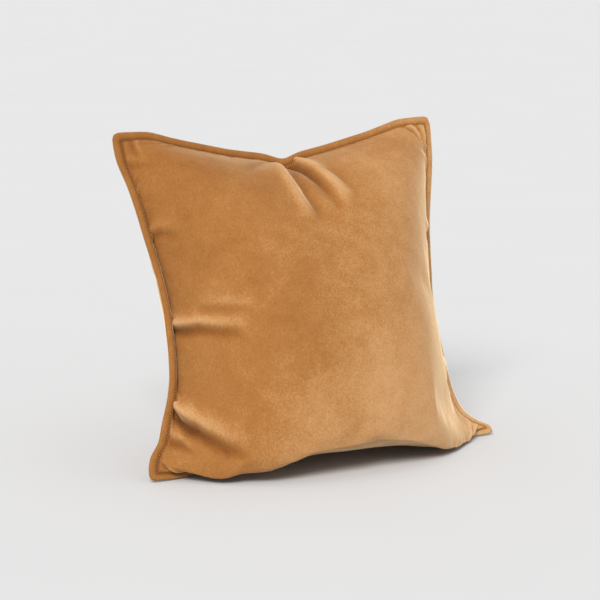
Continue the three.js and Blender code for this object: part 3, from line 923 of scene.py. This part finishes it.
def brass_material():
    """Antique brass plating, worn a little unevenly."""
    material, nodes, links = new_material("antique_brass")
    metal = nodes["Principled BSDF"]
    wear = noise(nodes, links, 260, 4, 0.6)
    links.new(ramp(nodes, links, wear, ((0.3, (0.3, 0.2, 0.08)), (0.7, (0.62, 0.46, 0.22)))),
              metal.inputs["Base Color"])
    metal.inputs["Metallic"].default_value = 1
    rough = nodes.new("ShaderNodeMapRange")
    rough.inputs["To Min"].default_value = 0.25
    rough.inputs["To Max"].default_value = 0.5
    links.new(wear, rough.inputs["Value"])
    links.new(rough.outputs["Result"], metal.inputs["Roughness"])
    links.new(bumped(nodes, links, wear, 0.15, 0.1 * MM), metal.inputs["Normal"])
    return material


# %% Dress every piece
def dress(piece, material):
    piece.data.materials.clear()
    piece.data.materials.append(material)


velvet = velvet_material()
cover_thread = thread_material("cover_thread", (0.5, 0.27, 0.1))
lining = woven_material("cotton_lining", (0.62, 0.59, 0.53), (0.86, 0.84, 0.78), 300)
tape = woven_material("zip_tape_weave", (0.16, 0.08, 0.03), (0.4, 0.21, 0.08), 350)
for piece in (velvet_front, velvet_back):
    dress(piece, velvet)
for piece in (stitches_front, stitches_back, rim):
    dress(piece, cover_thread)
dress(insert_case, lining)
dress(fibre, fibre_material())

ZIP_FINISHES = {
    "zip_tape": tape,
    "zip_thread": thread_material("zip_thread", (0.4, 0.21, 0.08)),
    "zip_coil": nylon_material(),
    "zip": brass_material(),
}
for name, node in frame["nodes"].items():
    finish = next((f for start_of, f in ZIP_FINISHES.items() if name.startswith(start_of)), None)
    if finish:
        for slot in node.material_slots:
            slot.material = finish

# %% [markdown]
# ## How the pieces join the frame
# Everything sewn rides on the pillow. The slider and its tab are the frame's own pieces and ride on
# their own bodies. Each soft piece stands for the plain solids that held its place.

# %% Ride and replace
JOINED = (
    (velvet_front, ("cover_front_panel",), "velvet"),
    (velvet_back, ("cover_back_panel",), "velvet"),
    (stitches_front, ("topstitch_front_thread",), "thread"),
    (stitches_back, ("topstitch_back_thread",), "thread"),
    (rim, ("rim_seam_thread",), "thread"),
    (insert_case, ("insert_front_panel", "insert_back_panel", "insert_seam_thread"), "lining"),
    (fibre, ("fibre_filling",), "fibre"),
)
for piece, nodes_replaced, slot_name in JOINED:
    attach(piece, BODY)
    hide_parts(*nodes_replaced)

# %% [markdown]
# ## The light and the camera
# A pale floor in a pale room, and one large soft key light from the left in front. The room's light
# fills the shadows. The camera looks from the left too, a little above the pillow.

# %% Stage
STUDIO_GREY = (0.79, 0.79, 0.79)
PAPER_DARK, PAPER_LIGHT = (0.56, 0.56, 0.56), (0.58, 0.58, 0.58)
KEY_FROM = Vector((-0.95, -1.1, 1.2))


def stage_floor():
    """A sheet of pale paper, far wider than the view."""
    net = bmesh.new()
    bmesh.ops.create_grid(net, x_segments=1, y_segments=1, size=40)
    floor = finished("studio_floor", net)
    material, nodes, links = new_material("studio_paper")
    paper = nodes["Principled BSDF"]
    grain = noise(nodes, links, 3, 2)
    links.new(ramp(nodes, links, grain, ((0, PAPER_DARK), (1, PAPER_LIGHT))),
              paper.inputs["Base Color"])
    paper.inputs["Roughness"].default_value = 0.9
    dress(floor, material)


stage_floor()
world = bpy.data.worlds.new("studio")
world.use_nodes = True
world.node_tree.nodes["Background"].inputs["Color"].default_value = (*STUDIO_GREY, 1)
bpy.context.scene.world = world
lamp = bpy.data.lights.new("soft_key", "SUN")
lamp.energy = 3.0
lamp.angle = math.radians(24)
key = bpy.data.objects.new("soft_key", lamp)
bpy.context.collection.objects.link(key)
key.rotation_euler = (-KEY_FROM).to_track_quat("-Z", "Y").to_euler()
bpy.context.scene.view_settings.view_transform = "Standard"

# %% Camera
YAW, RISE = math.radians(-30.1), math.radians(9.9)
DISTANCE = 2.65
VIEW_WIDTH = 0.7299  # metres that the picture shows from side to side at the aim
AIM = Vector((-0.0212, 0, 0.1927))
camera = bpy.data.objects.new("camera", bpy.data.cameras.new("camera"))
bpy.context.collection.objects.link(camera)
backwards = Vector((math.sin(YAW) * math.cos(RISE), -math.cos(YAW) * math.cos(RISE), math.sin(RISE)))
camera.location = AIM + backwards * DISTANCE
camera.rotation_euler = (-backwards).to_track_quat("-Z", "Y").to_euler()
camera.data.lens = camera.data.sensor_width * DISTANCE / VIEW_WIDTH
bpy.context.scene.camera = camera
